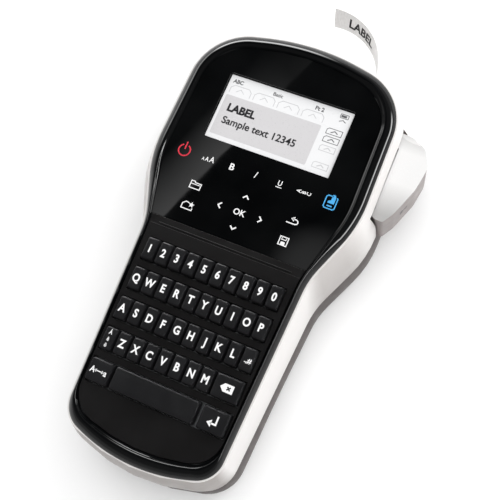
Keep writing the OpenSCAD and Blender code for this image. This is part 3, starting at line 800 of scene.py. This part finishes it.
icon("power", -35.7, 35.0,
     [stroke(arc(2.75, 120, 420, 40), 0.62), stroke([(0, 0.7), (0, 4.0)], 0.62)], INK_RED)
icon("print", 35.7, 34.8,
     [stroke([(0.2, 2.9), (-1.9, 2.9), (-2.55, 2.25), (-2.55, -2.35), (-1.9, -3.0), (1.9, -3.0),
              (2.55, -2.35), (2.55, 2.25), (2.2, 2.7)], 0.5),
      patch(rounded_box(2.4, 0.6, 0.2, (0, -1.75))),
      patch([(-1.3, -0.5), (1.7, -0.5), (1.7, 2.6), (1.1, 3.7), (-0.1, 3.7), (-0.1, 1.0),
             (-1.3, 0.4)])], INK_BLUE)
icon("text_size", -23.3, 35.0,
     [moved(lettering("A", cap, 0.015), x, y)
      for cap, x, y in ((1.4, -2.5, -0.75), (2.0, -0.7, -0.45), (2.7, 1.7, -0.05))])
icon("bold", -11.7, 35.0, [lettering("B", 3.0, 0.022, narrow=1.0)])
icon("slanted", 0.0, 35.2, [lettering("I", 2.9, 0.012, lean=0.3)])
icon("underline", 11.6, 35.3,
     [lettering("U", 2.4, 0.012), stroke([(-1.3, -2.0), (1.3, -2.0)], THIN_LINE)])
icon("upright", 23.1, 35.0,
     [moved(lettering(sign, 1.9, MARK_WEIGHT), x, 0, turn=90)
      for sign, x in (("A", -2.35), ("B", 0.0), ("C", 2.35))])
icon("folder", -23.7, 21.2,
     [stroke([(-2.6, -1.7), (-2.6, 1.7), (-1.0, 1.7), (-0.5, 1.1), (2.4, 1.1), (2.4, -1.7)],
             LINE, True),
      stroke([(-2.3, 0.3), (2.2, 0.3)], THIN_LINE)])
icon("favourite", -23.3, 11.2,
     [stroke([(0.2, 1.4), (-1.2, 1.7), (-2.6, 0.5), (-2.6, -1.7), (2.5, -1.7), (2.5, -0.8)], LINE),
      patch(star((1.6, 0.8), 1.5, 0.62))])
icon("back", 23.6, 21.2,
     [stroke([(-2.6, -1.3), (1.4, -1.3), (2.2, -0.9), (2.4, -0.1), (2.0, 0.6), (1.2, 0.9),
              (-0.4, 0.9)], 0.5),
      patch([(-1.2, 0.9), (0.4, 2.0), (0.4, -0.2)])])
icon("save", 23.2, 11.2,
     [stroke([(-1.9, -1.9), (-1.9, 1.9), (1.9, 1.9), (1.9, -1.9)], LINE, True),
      stroke([(-1.0, 1.8), (-1.0, 0.6), (1.0, 0.6), (1.0, 1.8)], THIN_LINE),
      patch(rounded_box(1.9, 1.3, 0.2, (0, -1.0)))])
for name, x, y, turn in (("up", 0, 24.0, 0), ("down", 0, 8.8, 180),
                         ("left", -9.8, 16.5, 90), ("right", 9.8, 16.5, 270)):
    head = stroke([(-1.25, -0.6), (0, 0.65), (1.25, -0.6)], 0.6)
    icon(name, x, y, [moved(head, 0, 0, turn=turn)])
icon("confirm", 0.0, 16.4, [lettering("OK", 2.7, MARK_WEIGHT, narrow=0.95)])

# ---------------------------------------------------------------- the scissors mark on the lever

LEVER_WALL = (Vector((67.0, 56.0)), Vector((62.2, 42.6)))  # its outer wall's upper and lower end
MARK_SHARE = 0.52  # how far down that wall the mark stands
MARK_OUT = 0.02


def mark_lever():
    """A small pair of scissors, standing on the flat part of the lever's outer wall."""
    upper, lower = LEVER_WALL
    along = (upper - lower).normalized()
    out = Vector((along.y, -along.x, 0))
    middle = upper.lerp(lower, MARK_SHARE)
    blades = [stroke([(-0.9, -0.75 * side), (2.3, 0.9 * side)], 0.4) for side in (1, -1)]
    rings = [stroke(arc(0.7, 0, 345, 20, (-1.5, y)), 0.38) for y in (-1.05, 1.05)]
    mesh = join_meshes(blades + rings)
    turn = Matrix(((along.x, along.y, 0), (0, 0, 1), out)).transposed()
    low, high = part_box("cutter_lever")
    place = Vector((middle.x, middle.y, (low.z + high.z) / 2 / MM)) + out * MARK_OUT
    mesh.transform(Matrix.Translation(place * MM) @ turn.to_4x4())
    add_piece("lever_mark", mesh, INK_MID, "lever")


mark_lever()

# ---------------------------------------------------------------- what the display shows

GLASS_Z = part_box("lcd_module")[1].z / MM
TEXT_LIFT = 0.03  # the text lies on its box
TEXT_LEFT = -25.8
STATUS_Y = 75.0
FINE_LINE = 0.3


def shown(name, meshes, material, lift=0.0):
    """Marks on the display's glass, drawn at their own place."""
    mesh = join_meshes(meshes)
    moved(mesh, 0, 0, GLASS_Z + lift)
    add_piece("display_" + name, mesh, material, "body")


def left_text(text, cap, weight, x, y):
    """A text that starts at x, with its capitals' middle at y."""
    mesh = lettering(text, cap, weight, narrow=0.97)
    return moved(mesh, x + half_width(mesh), y)


def tab(x):
    """The outline of one tab, with a roof-shaped mark in it."""
    return [stroke([(x, 69.0), (x, 71.6), (x + 1.6, 73.0), (x + 8.8, 73.0), (x + 10.2, 71.6),
                    (x + 10.2, 69.0)], FINE_LINE),
            stroke([(x + 3.2, 70.0), (x + 5.1, 71.6), (x + 7.0, 70.0)], FINE_LINE)]


def side_mark(y):
    """A small box with a wave in it, at the display's right edge."""
    return [stroke([(21.2, y - 1.4), (21.2, y + 0.6), (22.0, y + 1.4), (28.4, y + 1.4),
                    (28.4, y - 1.4)], FINE_LINE, True),
            stroke([(23.4, y - 0.5), (25.0, y + 0.5), (26.4, y - 0.4)], LINE)]


shown("text_box", [patch(rounded_box(47.2, 20.2, 0.6, (-5.4, 57.6)))], INK_BOX)
shown("text", [left_text("LABEL", 3.6, 0.045, TEXT_LEFT, 61.9),
               left_text("Sample text 12345", 3.4, 0.022, TEXT_LEFT, 55.4)], INK_DARK, TEXT_LIFT)
shown("status", [left_text("ABC", 1.8, 0.035, -28.6, STATUS_Y),
                 left_text("Basic", 1.7, 0.02, -8.4, STATUS_Y),
                 left_text("Pt 2", 1.9, 0.03, 12.4, STATUS_Y),
                 stroke(rounded_box(3.8, 1.9, 0.2, (26.4, 75.1)), FINE_LINE, True),
                 patch(rounded_box(2.6, 1.1, 0.1, (26.2, 75.1))),
                 stroke([(24.8, 72.3), (26.4, 73.1), (27.8, 72.3)], THIN_LINE)], INK_MID)
shown("tabs", [mesh for k in range(4) for mesh in tab(-28.4 + 12.0 * k)], INK_PALE)
for name, heights, material in (("side_dark", (66.4, 62.4), INK_MID),
                                ("side_pale", (57.9, 49.4), INK_PALE)):
    shown(name, [mesh for y in heights for mesh in side_mark(y)], material)

# ---------------------------------------------------------------- printing on the free label

# The free label's path in part.scad: straight from the slot, a gentle bend, then the tighter curl.
# Lengths are in millimetres and angles in degrees
TAPE_X, TAPE_Z, TAPE_HALF = 28.5, 14.0, 0.15
CURL_START_Y = 103.0
GENTLE_R, GENTLE_TURN = 45.0, 25.0
CURL_R, CURL_TURN, CURL_LEAN = 29.5, 95.0, 18.0

PRINT_LIFT = 0.12  # keeps the flat faces of the letters clear of the curved tape
PRINT_START = 8.3  # from the label's end to the first letter


def tape_point(s, across):
    """The point s mm from the label's end and across mm towards the face, on the printed side."""
    gentle = math.radians(GENTLE_TURN)
    tight = math.radians(CURL_TURN) - gentle
    if s < CURL_R * tight:
        a = math.radians(CURL_TURN) - s / CURL_R
    else:
        a = gentle - (s - CURL_R * tight) / GENTLE_R
    bend = min(a, gentle)
    x = TAPE_X + GENTLE_R * (math.cos(bend) - 1)
    y = CURL_START_Y + GENTLE_R * math.sin(bend)
    if a > gentle:
        x += CURL_R * (math.cos(a) - math.cos(gentle))
        y += CURL_R * (math.sin(a) - math.sin(gentle))
    lean = math.radians(CURL_LEAN * math.degrees(a) / CURL_TURN)
    left = Vector((-math.cos(a), -math.sin(a), 0))
    up = Vector((0, 0, 1))
    width = math.cos(lean) * up - math.sin(lean) * left
    through = math.cos(lean) * left + math.sin(lean) * up
    return Vector((x, y, TAPE_Z)) + width * across + through * (TAPE_HALF + PRINT_LIFT)


def print_label():
    mesh = lettering("LABEL", 5.4, 0.03)
    start = PRINT_START + half_width(mesh)
    for v in mesh.vertices:
        v.co = tape_point(start + v.co.x / MM, v.co.y / MM) * MM
    add_piece("label_printing", mesh, INK_DARK, "body")


print_label()

# ---------------------------------------------------------------- floor and light

FLOOR_HALF, FLOOR_CELLS, FLOOR_Z = 3.0, 40, -0.0003

# Place, size and power of the lights, which all aim at AIM
AIM = Vector((0, 0, 0.02))
AREA_LIGHTS = {
    "overhead": ((0.3, 0.3, 1.7), (2.8, 2.8), 25),
    "right_side": ((0.75, 1.25, 0.45), (0.9, 0.5), 9),
    "left_side": ((-1.25, 1.0, 0.5), (0.9, 0.5), 4),
}

# Rough surfaces see an even light, which gets stronger towards this side
EVEN_TOWARDS, EVEN_FADE, EVEN_STRENGTH = (0.2, 0.3, 0.93), (-0.3, 0.9), (0.15, 0.9)

# Gloss surfaces mirror a dark studio: the edge of a window above and to the left, a soft spot, two
# glows that fade upwards, and three soft-edged boxes. Each box has its direction, the cosines at
# which it starts and is full, the sines of elevation at which it starts, is full, is still full
# and ends, and its strength
WINDOW_EDGE = (0.8679, -0.3156, 0.3836)
WINDOW_FADE, WINDOW_CUT = (-0.05, -0.0005), (-0.0006, 0.0006)
WINDOW_ALONG, WINDOW_ALONG_FADE, WINDOW_DIM = (0.342, 0.940, 0.0), (0.17, 0.29), 0.12
WINDOW_HEIGHT_FADE = (0.6, 0.8)
WINDOW_STRENGTH = 1.2
SPOT_AT, SPOT_COSINE, SPOT_STRENGTH = Vector((-0.151, 0.206, 0.967)).normalized(), 0.9982, 0.5
# A glow has the sines of elevation between which it fades, and its strength at each
LOW_GLOW = (0.12, 0.3, 0.4, 0)
WIDE_GLOW = (0.55, 0.82, 0.2, 0.012)
BOX_LIGHTS = {
    "back": ((-0.477, 0.861, 0.174), (0.925, 0.975), (0.0, 0.08, 0.32, 0.45), 14.0),
    "side_line": ((0.97, 0.24, 0), (0.76, 0.9), (0.1, 0.13, 0.18, 0.22), 20.0),
    "left": ((-0.86, 0.5, 0.07), (0.93, 0.975), (-0.3, -0.1, 0.16, 0.3), 4.2),
}


def make_floor():
    made = bmesh.new()
    bmesh.ops.create_grid(made, x_segments=FLOOR_CELLS, y_segments=FLOOR_CELLS, size=FLOOR_HALF)
    floor = new_object("floor", finished_mesh(made, "floor"))
    floor.location = (0, 0, FLOOR_Z)
    paper = Shader("floor_paper", roughness=0.8)
    clouds = paper.ramp(paper.noise(8.0), *NOISE_RANGE, 0, 1)
    paper.colour(paper.mix(clouds, (0.93, 0.93, 0.93), (0.95, 0.95, 0.95)))
    floor.data.materials.append(paper.material)


def area_light(name, at, size, power):
    """A soft light that shows only in what it lights, not in the view or in reflections."""
    data = bpy.data.lights.new(name, "AREA")
    data.shape = "RECTANGLE"
    data.size, data.size_y = size
    data.energy = power
    light = new_object(name, data)
    light.location = at
    light.rotation_euler = (AIM - Vector(at)).to_track_quat("-Z", "Y").to_euler()
    light.visible_camera = False
    light.visible_glossy = False


class Sky(Nodes):
    """The world's nodes: even light for rough surfaces, and a dark studio for reflections."""

    def __init__(self):
        world = bpy.data.worlds.new("studio")
        bpy.context.scene.world = world
        world.use_nodes = True
        super().__init__(world.node_tree)
        self.direction = self.node("ShaderNodeTexCoord").outputs["Generated"]
        self.height = self.part_of(self.direction, "Z")

    def towards(self, axis):
        return self.along(self.direction, axis)

    def combine(self, operation, values):
        """All the values multiplied or added up, in order."""
        result = values[0]
        for value in values[1:]:
            made = self.node("ShaderNodeMath", operation=operation)
            self.feed(made.inputs[0], result)
            self.feed(made.inputs[1], value)
            result = made.outputs[0]
        return result

    def choose(self, factor, a, b):
        made = self.node("ShaderNodeMix")
        for socket, value in (("Factor", factor), ("A", a), ("B", b)):
            self.feed(made.inputs[socket], value)
        return made.outputs["Result"]

    def window(self):
        """A window's soft inner side, cut off sharply at its edge."""
        edge = self.towards(WINDOW_EDGE)
        return self.combine("MULTIPLY", [
            self.ramp(edge, *WINDOW_FADE, 0, WINDOW_STRENGTH),
            self.ramp(edge, *WINDOW_CUT, 1, 0),
            self.ramp(self.towards(WINDOW_ALONG), *WINDOW_ALONG_FADE, 1, WINDOW_DIM),
            self.ramp(self.height, *WINDOW_HEIGHT_FADE, 0, 1)])

    def box_light(self, axis, cosines, sines, strength):
        bottom, bottom_full, top_full, top = sines
        return self.combine("MULTIPLY", [
            self.ramp(self.height, bottom, bottom_full, 0, 1, True),
            self.ramp(self.height, top_full, top, 1, 0, True),
            self.ramp(self.towards(axis), *cosines, 0, strength, True)])

    def studio(self):
        """Everything that a gloss surface mirrors."""
        spot = self.ramp(self.towards(SPOT_AT), SPOT_COSINE, 1, 0, SPOT_STRENGTH, True)
        glows = [self.ramp(self.height, *glow, True) for glow in (LOW_GLOW, WIDE_GLOW)]
        boxes = [self.box_light(*box) for box in BOX_LIGHTS.values()]
        return self.combine("ADD", [self.window(), spot, *glows, *boxes])


def make_world():
    sky = Sky()
    even = sky.ramp(sky.towards(EVEN_TOWARDS), *EVEN_FADE, *EVEN_STRENGTH)
    path = sky.node("ShaderNodeLightPath").outputs
    lit = sky.choose(path["Is Glossy Ray"], even, sky.studio())
    background = sky.tree.nodes["Background"]
    sky.feed(background.inputs["Strength"], sky.choose(path["Is Camera Ray"], lit, 1.0))
    sky.feed(background.inputs["Color"], (1, 1, 1, 1))


make_floor()
make_world()
for name, light in AREA_LIGHTS.items():
    area_light(name, *light)

bpy.context.scene.view_settings.view_transform = "Standard"
